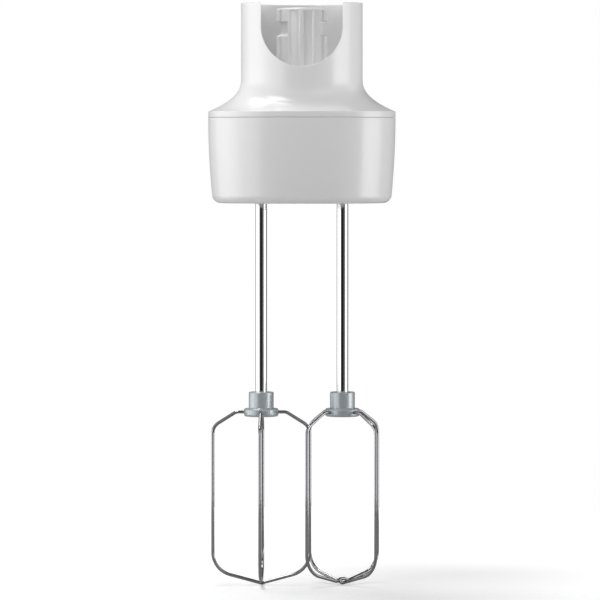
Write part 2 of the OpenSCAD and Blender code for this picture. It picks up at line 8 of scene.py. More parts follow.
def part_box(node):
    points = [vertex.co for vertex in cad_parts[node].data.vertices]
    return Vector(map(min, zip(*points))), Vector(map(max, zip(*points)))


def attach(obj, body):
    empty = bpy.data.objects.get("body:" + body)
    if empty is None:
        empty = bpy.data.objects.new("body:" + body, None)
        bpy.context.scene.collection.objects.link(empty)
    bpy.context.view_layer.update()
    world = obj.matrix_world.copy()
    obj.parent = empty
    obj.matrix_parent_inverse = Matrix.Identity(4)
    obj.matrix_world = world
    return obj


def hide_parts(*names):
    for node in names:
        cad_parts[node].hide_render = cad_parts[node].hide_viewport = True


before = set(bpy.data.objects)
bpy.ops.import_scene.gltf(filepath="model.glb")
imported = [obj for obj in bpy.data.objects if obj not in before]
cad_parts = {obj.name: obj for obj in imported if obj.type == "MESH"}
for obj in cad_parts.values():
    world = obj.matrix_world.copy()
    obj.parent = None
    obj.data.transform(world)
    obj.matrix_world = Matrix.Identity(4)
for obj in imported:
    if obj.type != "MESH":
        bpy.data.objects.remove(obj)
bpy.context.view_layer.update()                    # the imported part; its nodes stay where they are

mm = 0.001
wholeTurn = 2 * math.pi
mergeReach = 1e-7                     # verts closer than this are one


# small helpers for outlines and meshes

def roundedLine(corners, steps=6):
    # corners are (across, up, fillet) in mm, and a fillet becomes a true arc
    line = []
    for i, (across, up, fillet) in enumerate(corners):
        here = Vector((across, up))
        if not fillet:
            line.append(here)
            continue
        back = (Vector(corners[i - 1][:2]) - here).normalized()
        ahead = (Vector(corners[(i + 1) % len(corners)][:2]) - here).normalized()
        half = back.angle(ahead) / 2
        centre = here + (back + ahead).normalized() * (fillet / math.sin(half))
        start = here + back * (fillet / math.tan(half)) - centre
        end = here + ahead * (fillet / math.tan(half)) - centre
        sweep = math.pi - 2 * half
        for k in range(steps + 1):
            t = k / steps
            turned = start * math.sin((1 - t) * sweep) + end * math.sin(t * sweep)
            line.append(centre + turned / math.sin(sweep))
    return line


def smoothStep(edge, width, value):
    t = min(1, max(0, (value - edge) / width + 0.5))
    return t * t * (3 - 2 * t)


def vertsIn(geom):
    return [item for item in geom if isinstance(item, bmesh.types.BMVert)]


def edgesIn(geom):
    return [item for item in geom if isinstance(item, bmesh.types.BMEdge)]


def extrudeEdges(bm, edges):
    # returns the new verts, each with the vert it came from, and the new row of edges
    made = bmesh.ops.extrude_edge_only(bm, edges=edges)["geom"]
    fresh = dict.fromkeys(vertsIn(made))    # these keep their order, as a set's members don't
    cameFrom = {}
    for vert in fresh:
        for edge in vert.link_edges:
            other = edge.other_vert(vert)
            if other not in fresh:
                cameFrom[vert] = other
    return cameFrom, [edge for edge in edgesIn(made) if all(v in fresh for v in edge.verts)]


def spunMesh(corners, steps=96, closed=False, fillets=6):
    # a lathe-turned solid from an outline of (radius, height, fillet) in mm
    bm = bmesh.new()
    verts = [bm.verts.new((p.x * mm, 0, p.y * mm)) for p in roundedLine(corners, fillets)]
    pairs = list(zip(verts, verts[1:])) + ([(verts[-1], verts[0])] if closed else [])
    edges = [bm.edges.new(pair) for pair in pairs]
    bmesh.ops.spin(bm, geom=verts + edges, cent=(0, 0, 0), axis=(0, 0, 1), dvec=(0, 0, 0),
                   angle=wholeTurn, steps=steps, use_merge=True, use_duplicate=False)
    bmesh.ops.remove_doubles(bm, verts=bm.verts[:], dist=mergeReach)
    bmesh.ops.recalc_face_normals(bm, faces=bm.faces[:])
    return bm


def bevelEdges(bm, edges, width, segments):
    bmesh.ops.bevel(bm, geom=edges, offset=width * mm, offset_type="OFFSET", segments=segments,
                    profile=0.5, affect="EDGES", clamp_overlap=True, material=-1)


def meshObject(name, bm):
    mesh = bpy.data.meshes.new(name)
    bm.to_mesh(mesh)
    bm.free()
    piece = bpy.data.objects.new(name, mesh)
    bpy.context.scene.collection.objects.link(piece)
    return piece


def applyModifiers(piece):
    # the shape the modifiers give becomes the piece's own mesh
    bpy.context.view_layer.update()
    finished = bpy.data.meshes.new_from_object(piece.evaluated_get(bpy.context.evaluated_depsgraph_get()))
    piece.modifiers.clear()
    piece.data = finished


def addMesh(bm, piece):
    # a finished mesh goes into another one, as a separate shell
    draft = bpy.data.meshes.new("draft")
    piece.to_mesh(draft)
    piece.free()
    bm.from_mesh(draft)
    bpy.data.meshes.remove(draft)


def thicken(bm, thickness):
    # a wall grown inwards from the outer skin
    piece = meshObject("wallDraft", bm)
    wall = piece.modifiers.new("wall", "SOLIDIFY")
    wall.thickness = thickness * mm
    wall.offset = -1
    wall.use_even_offset = True
    applyModifiers(piece)
    solid = bmesh.new()
    solid.from_mesh(piece.data)
    bpy.data.objects.remove(piece)
    return solid


def finishPiece(name, bm, material, body, nodes=(), sharp=38):
    piece = meshObject(name, bm)
    piece.data.materials.clear()
    piece.data.materials.append(material)
    piece.data.shade_smooth()
    piece.data.set_sharp_from_angle(angle=math.radians(sharp))
    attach(piece, body)
    if nodes:
        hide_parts(*nodes)
    return piece


def moved(bm, offset):
    bmesh.ops.translate(bm, verts=bm.verts[:], vec=offset)
    return bm


# shader node groups that several finishes share

marks = {
    "swellScale": 90.0,
    "swellShare": 0.6,
    "driftScale": 35.0,
    "rubBreakScale": 420.0,
    "rubBreakGain": 1.8,
    "dustLean": 0.35,                   # how far a face has to look up before dust stays on it
    "dustScale": 160.0,
    "dustColour": (0.62, 0.6, 0.57, 1.0),
    "steelDriftScale": 55.0,
}


def newGroup(name, inputs, outputs):
    group = bpy.data.node_groups.new(name, "ShaderNodeTree")
    for label, kind, value in inputs:
        socket = group.interface.new_socket(name=label, in_out="INPUT", socket_type=kind)
        socket.default_value = value
    for label, kind in outputs:
        group.interface.new_socket(name=label, in_out="OUTPUT", socket_type=kind)
    return group, group.nodes.new("NodeGroupInput"), group.nodes.new("NodeGroupOutput")


def addMath(tree, operation, *values):
    node = tree.nodes.new("ShaderNodeMath")
    node.operation = operation
    for i, value in enumerate(values):
        if isinstance(value, (int, float)):
            node.inputs[i].default_value = value
        else:
            tree.links.new(value, node.inputs[i])
    return node.outputs[0]


def addNoise(tree, vector, scale, detail=3.0, roughness=0.55):
    node = tree.nodes.new("ShaderNodeTexNoise")
    node.inputs["Detail"].default_value = detail
    node.inputs["Roughness"].default_value = roughness
    tree.links.new(vector, node.inputs["Vector"])
    if isinstance(scale, (int, float)):
        node.inputs["Scale"].default_value = scale
    else:
        tree.links.new(scale, node.inputs["Scale"])
    return node.outputs["Fac"]


def mixColours(tree, mask, first, second):
    node = tree.nodes.new("ShaderNodeMix")
    node.data_type = "RGBA"
    for socket, value in ((node.inputs[0], mask), (node.inputs[6], first), (node.inputs[7], second)):
        if isinstance(value, (int, float, tuple)):
            socket.default_value = value
        else:
            tree.links.new(value, socket)
    return node.outputs[2]


def makeMouldGrain():
    # the fine orange peel of a moulded skin, and slow drifts in its gloss
    group, inside, outside = newGroup("mouldGrain", [("Fineness", "NodeSocketFloat", 2600.0)],
                                      [("Height", "NodeSocketFloat"), ("Drift", "NodeSocketFloat")])
    place = group.nodes.new("ShaderNodeTexCoord").outputs["Object"]
    fine = addNoise(group, place, inside.outputs["Fineness"], 2.0)
    swell = addNoise(group, place, marks["swellScale"], 2.0)
    peel = addMath(group, "MULTIPLY_ADD", swell, marks["swellShare"], fine)
    group.links.new(peel, outside.inputs["Height"])
    group.links.new(addNoise(group, place, marks["driftScale"], 4.0), outside.inputs["Drift"])
    return group


def makeEdgeRub():
    # where an edge is rounded by handling: the bevelled normal leaves the true one
    group, inside, outside = newGroup("edgeRub", [("Reach", "NodeSocketFloat", 0.0006),
                                                  ("Gain", "NodeSocketFloat", 3.0)],
                                      [("Mask", "NodeSocketFloat")])
    soft = group.nodes.new("ShaderNodeBevel")
    soft.samples = 4
    group.links.new(inside.outputs["Reach"], soft.inputs["Radius"])
    true = group.nodes.new("ShaderNodeNewGeometry")
    dot = group.nodes.new("ShaderNodeVectorMath")
    dot.operation = "DOT_PRODUCT"
    group.links.new(soft.outputs["Normal"], dot.inputs[0])
    group.links.new(true.outputs["Normal"], dot.inputs[1])
    bare = addMath(group, "SUBTRACT", 1.0, dot.outputs["Value"])
    place = group.nodes.new("ShaderNodeTexCoord").outputs["Object"]
    broken = addNoise(group, place, marks["rubBreakScale"], 4.0, 0.7)
    strong = addMath(group, "MULTIPLY", bare, inside.outputs["Gain"])
    mask = addMath(group, "MULTIPLY", strong, addMath(group, "MULTIPLY", broken, marks["rubBreakGain"]))
    group.links.new(addMath(group, "MINIMUM", mask, 1.0), outside.inputs["Mask"])
    return group


def makeSettledDust():
    # a thin film on what faces up
    group, inside, outside = newGroup("settledDust", [("Amount", "NodeSocketFloat", 0.2)],
                                      [("Mask", "NodeSocketFloat")])
    facing = group.nodes.new("ShaderNodeNewGeometry").outputs["Normal"]
    split = group.nodes.new("ShaderNodeSeparateXYZ")
    group.links.new(facing, split.inputs[0])
    up = addMath(group, "MAXIMUM", addMath(group, "SUBTRACT", split.outputs[2], marks["dustLean"]), 0.0)
    place = group.nodes.new("ShaderNodeTexCoord").outputs["Object"]
    patch = addNoise(group, place, marks["dustScale"], 5.0, 0.65)
    film = addMath(group, "MULTIPLY", addMath(group, "MULTIPLY", up, patch), inside.outputs["Amount"])
    group.links.new(film, outside.inputs["Mask"])
    return group


def makeTurnedLines():
    # the fine rings that turning or drawing leaves round a steel rod
    group, inside, outside = newGroup("turnedLines", [("Along", "NodeSocketFloat", 5200.0),
                                                      ("Around", "NodeSocketFloat", 60.0)],
                                      [("Height", "NodeSocketFloat"), ("Drift", "NodeSocketFloat")])
    place = group.nodes.new("ShaderNodeTexCoord").outputs["Object"]
    stretch = group.nodes.new("ShaderNodeCombineXYZ")
    for i, label in enumerate(("Around", "Around", "Along")):
        group.links.new(inside.outputs[label], stretch.inputs[i])
    scaled = group.nodes.new("ShaderNodeVectorMath")
    scaled.operation = "MULTIPLY"
    group.links.new(place, scaled.inputs[0])
    group.links.new(stretch.outputs[0], scaled.inputs[1])
    group.links.new(addNoise(group, scaled.outputs[0], 1.0, 3.0, 0.6), outside.inputs["Height"])
    group.links.new(addNoise(group, place, marks["steelDriftScale"], 3.0), outside.inputs["Drift"])
    return group


mouldGrain = makeMouldGrain()
edgeRub = makeEdgeRub()
settledDust = makeSettledDust()
turnedLines = makeTurnedLines()


def useGroup(tree, group, **values):
    node = tree.nodes.new("ShaderNodeGroup")
    node.node_tree = group
    for label, value in values.items():
        node.inputs[label].default_value = value
    return node


def newMaterial(name):
    material = bpy.data.materials.new(name)
    material.use_nodes = True
    return material, material.node_tree, material.node_tree.nodes["Principled BSDF"]


def addBump(tree, shader, height, distance, strength):
    bump = tree.nodes.new("ShaderNodeBump")
    bump.inputs["Distance"].default_value = distance
    bump.inputs["Strength"].default_value = strength
    tree.links.new(height, bump.inputs["Height"])
    tree.links.new(bump.outputs["Normal"], shader.inputs["Normal"])


def shade(colour, factor):
    return tuple(min(1.0, c * factor) for c in colour[:3]) + (1.0,)


plasticSkin = {
    "rubReach": 0.0005,
    "rubGain": 2.5,
    "shades": (0.985, 1.01, 1.12),      # the colour where it drifts darker, lighter, and where it is rubbed
    "glossDrift": 0.10,
    "coatRoughness": 0.12,
    "scatterReach": 0.002,
    "grainHeight": 0.00004,
}


def plasticFinish(name, colour, roughness, grain=0.12, fineness=2600.0, rub=0.25, dust=0.15, coat=0.0,
                  scatter=0.0, metallic=0.0):
    material, tree, shader = newMaterial(name)
    skin = useGroup(tree, mouldGrain, Fineness=fineness)
    worn = useGroup(tree, edgeRub, Reach=plasticSkin["rubReach"], Gain=plasticSkin["rubGain"])
    film = useGroup(tree, settledDust, Amount=dust)
    darker, lighter, bare = (shade(colour, factor) for factor in plasticSkin["shades"])
    drifted = mixColours(tree, skin.outputs["Drift"], darker, lighter)
    rubbed = mixColours(tree, addMath(tree, "MULTIPLY", worn.outputs["Mask"], rub), drifted, bare)
    dusty = mixColours(tree, film.outputs["Mask"], rubbed, marks["dustColour"])
    tree.links.new(dusty, shader.inputs["Base Color"])
    drift = plasticSkin["glossDrift"]
    base = addMath(tree, "MULTIPLY_ADD", skin.outputs["Drift"], drift, roughness - drift / 2)
    tree.links.new(addMath(tree, "ADD", base, film.outputs["Mask"]), shader.inputs["Roughness"])
    shader.inputs["Coat Weight"].default_value = coat
    shader.inputs["Coat Roughness"].default_value = plasticSkin["coatRoughness"]
    shader.inputs["Metallic"].default_value = metallic
    shader.inputs["Subsurface Weight"].default_value = scatter
    shader.inputs["Subsurface Radius"].default_value = (plasticSkin["scatterReach"],) * 3
    shader.inputs["Subsurface Scale"].default_value = 1.0
    addBump(tree, shader, skin.outputs["Height"], plasticSkin["grainHeight"], grain)
    return material


metalSkin = {
    "rubReach": 0.0003,
    "rubGain": 2.0,
    "rubShare": 0.35,
    "shades": (0.93, 1.03, 1.25),
    "glossSpread": 0.06,
    "lineHeight": 0.00003,
}


def metalFinish(name, colour, roughness, lines=0.15, along=5200.0, around=60.0):
    material, tree, shader = newMaterial(name)
    drawn = useGroup(tree, turnedLines, Along=along, Around=around)
    worn = useGroup(tree, edgeRub, Reach=metalSkin["rubReach"], Gain=metalSkin["rubGain"])
    darker, lighter, bare = (shade(colour, factor) for factor in metalSkin["shades"])
    base = mixColours(tree, drawn.outputs["Drift"], darker, lighter)
    rubbed = addMath(tree, "MULTIPLY", worn.outputs["Mask"], metalSkin["rubShare"])
    bright = mixColours(tree, rubbed, base, bare)
    tree.links.new(bright, shader.inputs["Base Color"])
    shader.inputs["Metallic"].default_value = 1.0
    spread = metalSkin["glossSpread"]
    rough = addMath(tree, "MULTIPLY_ADD", drawn.outputs["Height"], spread, roughness - spread / 2)
    tree.links.new(rough, shader.inputs["Roughness"])
    addBump(tree, shader, drawn.outputs["Height"], metalSkin["lineHeight"], lines)
    return material


finishes = {
    "whiteGloss": plasticFinish("whiteGloss", (0.87, 0.87, 0.875), 0.30, grain=0.05, rub=0.3, dust=0.05,
                                coat=0.45),
    # painted light: the tower's white is set brighter than the housing's white, a lit copy that stands in for
    # the stronger light the tower catches inside the collar
    "towerWhitePaintedLight": plasticFinish("towerWhitePaintedLight", (0.96, 0.96, 0.965), 0.30, grain=0.05, rub=0.2, dust=0.02,
                                coat=0.5),
    "greyBlue": plasticFinish("greyBlue", (0.47, 0.52, 0.54), 0.32, grain=0.06, fineness=3800.0, rub=0.3,
                              dust=0.04, coat=0.6, metallic=0.3),
    "frameGrey": plasticFinish("frameGrey", (0.50, 0.51, 0.52), 0.5, grain=0.2, fineness=1800.0),
    "acetal": plasticFinish("acetal", (0.80, 0.76, 0.62), 0.36, grain=0.1, scatter=0.08),
    "nylonBlack": plasticFinish("nylonBlack", (0.03, 0.03, 0.033), 0.5, grain=0.3, fineness=1500.0, rub=0.5),
    "sealRubber": plasticFinish("sealRubber", (0.022, 0.022, 0.024), 0.68, grain=0.25, fineness=2200.0,
                                rub=0.4),
    "polishedRod": metalFinish("polishedRod", (0.78, 0.78, 0.79), 0.09, lines=0.05),
    # painted shade: the wires' steel is set far darker than the shafts' polished steel, a shaded copy that
    # stands in for the dark reflections the wires show
    "polishedWirePaintedShade": metalFinish("polishedWirePaintedShade", (0.36, 0.36, 0.37), 0.10, lines=0.06, along=900.0,
                                around=900.0),
    "turnedSteel": metalFinish("turnedSteel", (0.58, 0.58, 0.59), 0.27, lines=0.3),
    "stampedSteel": metalFinish("stampedSteel", (0.62, 0.62, 0.63), 0.34, lines=0.2, along=700.0,
                                around=700.0),
    "zincScrew": metalFinish("zincScrew", (0.60, 0.61, 0.64), 0.3, lines=0.25, along=1500.0),
    "cutBrass": metalFinish("cutBrass", (0.82, 0.62, 0.27), 0.25, lines=0.25, along=3000.0),
    "bronze": metalFinish("bronze", (0.55, 0.36, 0.18), 0.4, lines=0.4, along=1200.0, around=1200.0),
}
print("finishes ready:", len(finishes))


# plan of the housing: a squared oval below, a circle at the collar

plan = {
    "squareness": 2.4,
    "shoulderPower": 2.35,
    "neckHeight": 2.0,
    "shoulderHeight": 15.5,
    "creaseRadius": 0.7,
    "creaseFlatness": 0.9,
    "seamGap": 0.15,
    "tongueHeight": 1.5,
}
upperBox = [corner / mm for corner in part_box("upper_housing")]
lowerBox = [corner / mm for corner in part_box("lower_housing")]
halfWidth = upperBox[1].x
halfDepth = upperBox[1].y
rimZ = upperBox[1].z
seamZ = lowerBox[1].z - plan["tongueHeight"]
bottomZ = lowerBox[0].z
creaseZ = plan["neckHeight"] - plan["shoulderHeight"]
bodyOf = {"left": "left_beater", "right": "right_beater"}
shaftX = {side: sum(c.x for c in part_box(side + "_beater_shaft")) / 2 / mm for side in bodyOf}


def ovalRadius(phi, inset):
    # polar radius of the squared oval; phi is counted from the front
    power = plan["squareness"]
    across = abs(math.sin(phi)) / (halfWidth - inset)
    deep = abs(math.cos(phi)) / (halfDepth - inset)
    return (across ** power + deep ** power) ** (-1 / power)


def polar(radius, phi, z):
    return Vector((radius * math.sin(phi), -radius * math.cos(phi), z)) * mm


def phiAt(vert):
    return math.atan2(vert.co.x, -vert.co.y)


def faceOutwards(bm):
    # an open skin round the Z axis, turned so that its normals leave the axis
    bmesh.ops.recalc_face_normals(bm, faces=bm.faces[:])
    lean = sum(face.normal.xy.dot(face.calc_center_median().xy) * face.calc_area() for face in bm.faces)
    if lean < 0:
        bmesh.ops.reverse_faces(bm, faces=bm.faces[:])


def sharpEdges(bm, least, test):
    found = []
    for edge in bm.edges:
        if len(edge.link_faces) == 2 and edge.calc_face_angle() > math.radians(least):
            if test((edge.verts[0].co + edge.verts[1].co) / 2 / mm, edge):
                found.append(edge)
    return found


collar = {
    "radius": 29.1,
    "wall": 2.5,
    "notchHalf": 19.4,
    "notchFloor": 7.4,
    "apron": 3.2,
    "notchColumns": 60,
    "backColumns": 92,
    "rimRounding": 0.55,
    "postRounding": 0.9,
    "floorThickness": 2.4,
    "floorSpan": 0.8,                   # how far the socket floor runs into the wall
    "spigotHole": 14.0,
    "lipHeight": 0.9,
    "creaseRows": 6,
    "shoulderRows": 26,
    "collarRows": 10,
    "notchStrips": (1.8, 0.9, 0.0),
    "postShares": (0.2, 0.4, 0.6, 0.78, 0.91, 1.0),
    "notchFadeFrom": 0.22,
    "notchFade": 0.4,
    "seamRounding": 0.12,
}


def makeUpperShell(material):
    radius = collar["radius"]
    notchZ = collar["notchFloor"] + collar["notchHalf"]
    apronHalf = collar["notchHalf"] + collar["apron"]
    apronPhi = math.asin(apronHalf / radius)
    columns = collar["notchColumns"]
    tilt, evenPhi = {}, {}              # angle round the notch, and the even angle of a column
    bm = bmesh.new()
    around = columns + collar["backColumns"]
    ring = bmesh.ops.create_circle(bm, cap_ends=False, segments=around, radius=mm)["verts"]
    for i, vert in enumerate(ring):
        if i <= columns:
            tilt[vert] = (2 * i / columns - 1) * math.pi / 2
            evenPhi[vert] = (2 * i / columns - 1) * apronPhi
        else:
            share = (i - columns) / collar["backColumns"]
            evenPhi[vert] = apronPhi + share * (wholeTurn - 2 * apronPhi)
        vert.co = polar(ovalRadius(evenPhi[vert], 0), evenPhi[vert], seamZ + plan["seamGap"] / 2)
    row = bm.edges[:]

    def grow(edges, place):
        cameFrom, fresh = extrudeEdges(bm, edges)
        for vert, parent in cameFrom.items():
            evenPhi[vert] = evenPhi[parent]
            if parent in tilt:
                tilt[vert] = tilt[parent]
            vert.co = place(vert, parent)
        return fresh

    def shoulderAt(vert, level):
        # level 1 is the crease, 0 is the neck
        phi = evenPhi[vert]
        spread = ovalRadius(phi, plan["creaseRadius"]) - radius
        power = plan["shoulderPower"] * plan["shoulderHeight"] / spread
        z = plan["neckHeight"] - level * plan["shoulderHeight"]
        return polar(radius + spread * level ** power, phi, z)

    def roundNotch(vert, half):
        across = half * math.sin(tilt[vert])
        return polar(radius, math.asin(across / radius), notchZ - half * math.cos(tilt[vert]))

    def collarAt(vert, share):
        if vert not in tilt:
            return polar(radius, evenPhi[vert], plan["neckHeight"] + share * (notchZ - plan["neckHeight"]))
        across = apronHalf * math.sin(tilt[vert])
        phi = evenPhi[vert] + share * (math.asin(across / radius) - evenPhi[vert])
        top = notchZ - apronHalf * math.cos(tilt[vert])
        return polar(radius, phi, plan["neckHeight"] + share * (top - plan["neckHeight"]))

    crease = plan["creaseRadius"]
    drop = crease * plan["creaseFlatness"]
    for z in (seamZ + collar["lipHeight"], creaseZ - drop):
        row = grow(row, lambda v, parent: polar(ovalRadius(evenPhi[v], 0), evenPhi[v], z))
    for k in range(1, collar["creaseRows"]):   # the rounded crease, between the lip and the shoulder
        turn = k / collar["creaseRows"] * math.pi / 2
        inset, z = crease * (1 - math.cos(turn)), creaseZ - drop * (1 - math.sin(turn))
        row = grow(row, lambda v, parent: polar(ovalRadius(evenPhi[v], inset), evenPhi[v], z))
    for k in range(collar["shoulderRows"] + 1):
        row = grow(row, lambda v, parent: shoulderAt(v, 1 - k / collar["shoulderRows"]))
    for k in range(1, collar["collarRows"] + 1):
        row = grow(row, lambda v, parent: collarAt(v, k / collar["collarRows"]))
    notchRow = [edge for edge in row if all(v in tilt for v in edge.verts)]
    upright = [edge for edge in row if edge not in notchRow]
    known = set(bm.edges)
    for extra in collar["notchStrips"]:   # narrow strips that follow the notch to its edge
        notchRow = grow(notchRow, lambda v, parent: roundNotch(v, collar["notchHalf"] + extra))
    atEnds = notchZ * mm - 1e-6
    upright += [edge for edge in bm.edges if edge not in known and all(v.co.z > atEnds for v in edge.verts)]
    for share in collar["postShares"]:   # the posts and the back, straight up to the rim
        z = (notchZ + (rimZ - notchZ) * share) * mm
        upright = grow(upright, lambda v, parent: Vector((parent.co.x, parent.co.y, z)))
    faceOutwards(bm)
    outer = len(bm.verts)
    bm = thicken(bm, collar["wall"])
    bm.verts.ensure_lookup_table()
    boreRadius = radius - collar["wall"]
    cornerPhi = math.asin(collar["notchHalf"] / radius)
    for i in range(outer):              # the notch is one straight cut, so its two edges share their width
        skin = bm.verts[i]
        if skin.co.z > (plan["neckHeight"] + 0.1) * mm and skin.co.xy.length < (radius + 0.1) * mm:
            phi = phiAt(skin)
            across = max(-1, min(1, radius * math.sin(phi) / boreRadius))
            shift = math.asin(across) - phi if abs(phi) < 1.1 else 0.0
            fade = 1 - smoothStep(cornerPhi + collar["notchFadeFrom"], collar["notchFade"], abs(phi))
            bm.verts[i + outer].co = polar(boreRadius, phi + shift * fade, skin.co.z / mm)
    half = collar["notchHalf"]

    def atPostTop(at, edge):
        level = abs(edge.verts[0].co.x - edge.verts[1].co.x) < 0.1 * mm and edge.calc_length() > mm
        return level and at.z > rimZ - 0.1 and abs(abs(at.x) - half) < 0.3 and at.y < 0

    bevelEdges(bm, sharpEdges(bm, 60, atPostTop), collar["postRounding"], 4)
    rims = sharpEdges(bm, 50, lambda at, edge: at.z > collar["notchFloor"] - 0.5)
    bevelEdges(bm, rims, collar["rimRounding"], 3)
    bevelEdges(bm, sharpEdges(bm, 50, lambda at, edge: at.z < seamZ + 0.4), collar["seamRounding"], 2)
    hole, edgeRadius = collar["spigotHole"], boreRadius + collar["floorSpan"]
    under = -collar["floorThickness"]
    floor = spunMesh([(hole, 0, 0.3), (boreRadius - 1.2, 0, 0), (boreRadius - 0.35, 0.35, 0),
                      (boreRadius, 1.2, 0), (edgeRadius, 1.2, 0), (edgeRadius, under, 0),
                      (hole, under, 0.3)], 120, closed=True)
    addMesh(bm, floor)
    return finishPiece("upperShell", bm, material, "housing", ["upper_housing"])


base = {
    "wall": 2.2,
    "draft": 2.2,
    "rounding": 3.6,
    "columns": 128,
    "outletRadius": 7.45,
    "lipHeight": 0.9,
    "wallShares": (0.86, 0.72, 0.58, 0.44, 0.3, 0.18, 0.1),
    "roundingRows": 8,
    "floorInset": 1.5,
    "seamRounding": 0.12,
    "outletRounding": 0.25,
    "tongueOut": 2.35,
    "tongueIn": 3.65,
    "tongueFoot": 3.0,
    "tongueRoot": 1.8,                  # the tongue's foot runs into the wall, and steps in at the seam
}


def ovalRing(bm, z, inset):
    ring = bmesh.ops.create_circle(bm, cap_ends=False, segments=base["columns"], radius=mm)["verts"]
    for i, vert in enumerate(ring):
        phi = i * wholeTurn / base["columns"]
        vert.co = polar(ovalRadius(phi, inset), phi, z)
    return list(dict.fromkeys(edge for vert in ring for edge in vert.link_edges))


def growOval(bm, row, z, inset):
    cameFrom, row = extrudeEdges(bm, row)
    for vert, parent in list(cameFrom.items()):
        phi = phiAt(parent)
        vert.co = polar(ovalRadius(phi, inset), phi, z)
    return row


def makeLowerShell(material):
    top = seamZ - plan["seamGap"] / 2
    height = seamZ - bottomZ
    levels = [top - base["lipHeight"]] + [bottomZ + height * share for share in base["wallShares"]]

    def taper(z):
        return base["draft"] * ((seamZ - z) / height) ** 2

    profile = [(z, taper(z)) for z in levels]
    for k in range(base["roundingRows"] + 1):
        turn = k / base["roundingRows"] * math.pi / 2
        z = bottomZ + base["rounding"] * (1 - math.sin(turn))
        profile.append((z, taper(z) + base["rounding"] * (1 - math.cos(turn))))
    bm = bmesh.new()
    row = ovalRing(bm, top, 0)
    for z, inset in profile:
        row = growOval(bm, row, z, inset)
    bottomRow = growOval(bm, row, bottomZ, profile[-1][1] + base["floorInset"])
    for x in shaftX.values():
        outlet = base["outletRadius"] * mm
        hole = bmesh.ops.create_circle(bm, cap_ends=False, segments=48, radius=outlet)["verts"]
        bmesh.ops.translate(bm, verts=hole, vec=Vector((x, 0, bottomZ)) * mm)
        bottomRow += list(dict.fromkeys(edge for vert in hole for edge in vert.link_edges))
    bmesh.ops.triangle_fill(bm, use_beauty=True, use_dissolve=False, edges=bottomRow)
    bmesh.ops.recalc_face_normals(bm, faces=bm.faces[:])
    inside = Vector((0, 0, -30)) * mm
    lean = sum(face.normal.dot(face.calc_center_median() - inside) for face in bm.faces)
    if lean < 0:
        bmesh.ops.reverse_faces(bm, faces=bm.faces[:])
    bm = thicken(bm, base["wall"])
    bevelEdges(bm, sharpEdges(bm, 50, lambda at, edge: at.z > seamZ - 0.6), base["seamRounding"], 2)
    bevelEdges(bm, sharpEdges(bm, 50, lambda at, edge: at.z < bottomZ + 0.1), base["outletRounding"], 2)
    tongue = bmesh.new()                # the ring that locates the upper shell, seen through the seam
    tongueTop, tongueFoot = seamZ + plan["tongueHeight"], seamZ - base["tongueFoot"]
    rows = [(tongueFoot, base["tongueRoot"]), (seamZ - 0.7, base["tongueRoot"]),
            (seamZ - 0.6, base["tongueOut"]), (tongueTop, base["tongueOut"]), (tongueTop, base["tongueIn"])]
    first = ovalRing(tongue, tongueFoot, base["tongueIn"])
    row = first
    for z, inset in rows:
        row = growOval(tongue, row, z, inset)
    bmesh.ops.bridge_loops(tongue, edges=first + row)
    bmesh.ops.recalc_face_normals(tongue, faces=tongue.faces[:])
    addMesh(bm, tongue)
    return finishPiece("lowerShell", bm, material, "housing", ["lower_housing"])


tower = {
    "radius": 12.2,
    "flute": 11.2,
    "core": 10.1,
    "bore": 9.0,
    "boreFloor": 10.6,
    "capHeight": 1.3,
    "ribs": ((-120, -60), (-54, -28.6), (-6, 5.6), (26.3, 49.5), (60, 120),
             (133, 152), (174, 186), (-152, -133)),
    "ribSoftness": 3.0,
    "grooveTop": 28.9,
    "grooveLow": 23.3,
    "grooveLeft": -7.06,
    "grooveRight": 9.0,
    "grooveFoot": 0.6,
    "grooveEase": 1.8,
    "edgeEase": 0.5,
    "capEase": 0.7,
    "rim": 0.9,
    "spigotRadius": 13.0,
    "spigotTop": 6.0,
    "neckRadius": 12.0,
    "floorThickness": 2.4,
    "flangeRadius": 15.0,
    "flangeThickness": 3.0,
    "pipeRadius": 10.4,
    "footRadius": 15.5,
    "footHeight": 3.0,
    "shaftHole": 3.8,
    "shaftHoleTop": -4.0,
    "socketHole": 5.8,
    "columns": 288,
}


def towerRadius(phi, z, top):
    degrees = math.degrees(phi)
    rib = 0.0
    for low, high in tower["ribs"]:
        for turn in (-360, 0, 360):
            mid, half = (low + high) / 2 + turn, (high - low) / 2
            rib = max(rib, 1 - smoothStep(half, tower["ribSoftness"], abs(degrees - mid)))
    cap = smoothStep(top - tower["capHeight"], tower["capEase"], z)
    radius = tower["flute"] + (tower["radius"] - tower["flute"]) * max(rib, cap)
    x = tower["radius"] * math.sin(phi)
    ease = tower["edgeEase"]
    side = max(smoothStep(-tower["grooveLeft"], ease, -x), smoothStep(tower["grooveRight"], ease, x))
    above = smoothStep(tower["grooveTop"], ease, z)
    depth = side * (1 - above) * smoothStep(tower["grooveLow"] - tower["grooveFoot"], tower["grooveEase"], z)
    return radius + (tower["core"] - radius) * depth


